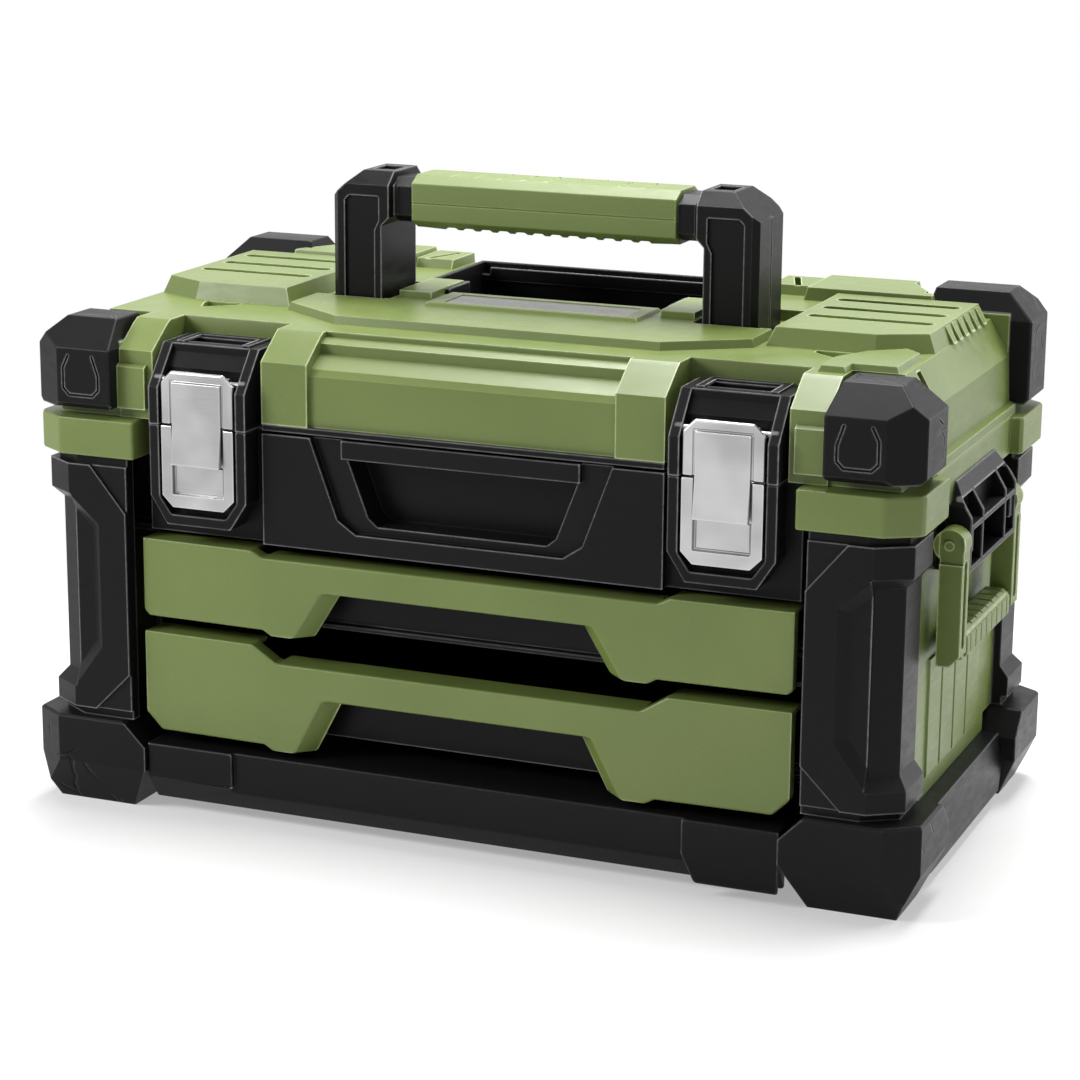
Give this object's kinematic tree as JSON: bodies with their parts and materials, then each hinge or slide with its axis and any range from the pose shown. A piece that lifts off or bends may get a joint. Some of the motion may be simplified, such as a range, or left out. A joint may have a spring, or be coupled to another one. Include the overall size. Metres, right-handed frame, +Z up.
{
  "type": "portable tool box with drawers",
  "caption": "Rectangular portable tool box with a hinged lid over a top tray, full-width drawers, draw latches, a telescoping carry handle and folding side handles.",
  "frame": {"origin": "centre of the footprint on the ground, under the feet", "axes": "+X to the right seen from the front, +Y to the back, +Z up; drawers open towards -Y"},
  "size_m": [0.572, 0.308, 0.389],
  "materials": {
    "green_shell": "fine grained satin",
    "green_grip": "soft touch satin",
    "black_shell": "fine grained satin",
    "latch_metal": "satin brushed",
    "pin_steel": "brushed"
  },
  "bodies": {
    "case": {"base_tray": "black_shell", "foot_front_left": "black_shell", "foot_front_right": "black_shell", "foot_rear_left": "black_shell", "foot_rear_right": "black_shell", "pillar_front_left": "black_shell", "pillar_front_right": "black_shell", "pillar_rear_left": "black_shell", "pillar_rear_right": "black_shell", "side_panel_left": "green_shell", "side_panel_right": "green_shell", "back_panel": "green_shell", "case_collar": "green_shell", "top_tub": "black_shell", "front_grip_panel": "black_shell", "drawer_cheek_left": "black_shell", "drawer_cheek_right": "black_shell", "drawer_divider": "black_shell", "latch_bezel_left": "black_shell", "latch_bezel_right": "black_shell", "latch_keeper_left": "latch_metal", "latch_keeper_right": "latch_metal", "side_handle_bracket_left": "black_shell", "side_handle_bracket_right": "black_shell", "side_handle_pins": "pin_steel", "hinge_leaves_case": "pin_steel", "hinge_pins": "pin_steel", "case_leaf_screws": "pin_steel"},
    "lid": {"lid_shell": "green_shell", "lid_cap_front_left": "black_shell", "lid_cap_front_right": "black_shell", "lid_cap_rear_left": "black_shell", "lid_cap_rear_right": "black_shell", "lid_well": "black_shell", "lid_plate_inset": "black_shell", "lid_liner": "black_shell", "latch_housing_left": "black_shell", "latch_housing_right": "black_shell", "latch_pins": "pin_steel", "hinge_leaves_lid": "pin_steel", "lid_leaf_screws": "pin_steel"},
    "handle": {"handle_post_left": "black_shell", "handle_post_right": "black_shell", "handle_grip_upper": "green_grip", "handle_grip_lower": "green_grip", "handle_collar_left": "black_shell", "handle_collar_right": "black_shell", "handle_core": "pin_steel"},
    "latch_left": {"latch_lever_left": "latch_metal"},
    "latch_right": {"latch_lever_right": "latch_metal"},
    "side_handle_left": {"side_handle_bail_left": "green_shell", "side_handle_grip_left": "green_shell"},
    "side_handle_right": {"side_handle_bail_right": "green_shell", "side_handle_grip_right": "green_shell"},
    "drawer_upper": {"drawer_upper_front": "green_shell", "drawer_upper_tray": "black_shell"},
    "drawer_lower": {"drawer_lower_front": "green_shell", "drawer_lower_tray": "black_shell"}
  },
  "joints": [
    {"name": "lid_hinge", "type": "hinge", "parent": "case", "child": "lid", "pos_m": [0, 0.149, 0.256], "axis": [-1, 0, 0], "range_deg": [0, 95]},
    {"name": "latch_left_pivot", "type": "hinge", "parent": "lid", "child": "latch_left", "pos_m": [-0.166, -0.143, 0.275], "axis": [-1, 0, 0], "range_deg": [0, 80]},
    {"name": "latch_right_pivot", "type": "hinge", "parent": "lid", "child": "latch_right", "pos_m": [0.166, -0.143, 0.275], "axis": [-1, 0, 0], "range_deg": [0, 80]},
    {"name": "handle_slide", "type": "slide", "parent": "lid", "child": "handle", "axis": [0, 0, -1], "range_m": [0, 0.038]},
    {"name": "drawer_upper_slide", "type": "slide", "parent": "case", "child": "drawer_upper", "axis": [0, -1, 0], "range_m": [0, 0.215]},
    {"name": "drawer_lower_slide", "type": "slide", "parent": "case", "child": "drawer_lower", "axis": [0, -1, 0], "range_m": [0, 0.215]},
    {"name": "side_handle_left_pivot", "type": "hinge", "parent": "case", "child": "side_handle_left", "pos_m": [-0.2765, 0, 0.203], "axis": [0, 1, 0], "range_deg": [0, 95]},
    {"name": "side_handle_right_pivot", "type": "hinge", "parent": "case", "child": "side_handle_right", "pos_m": [0.2765, 0, 0.203], "axis": [0, -1, 0], "range_deg": [0, 95]}
  ]
}
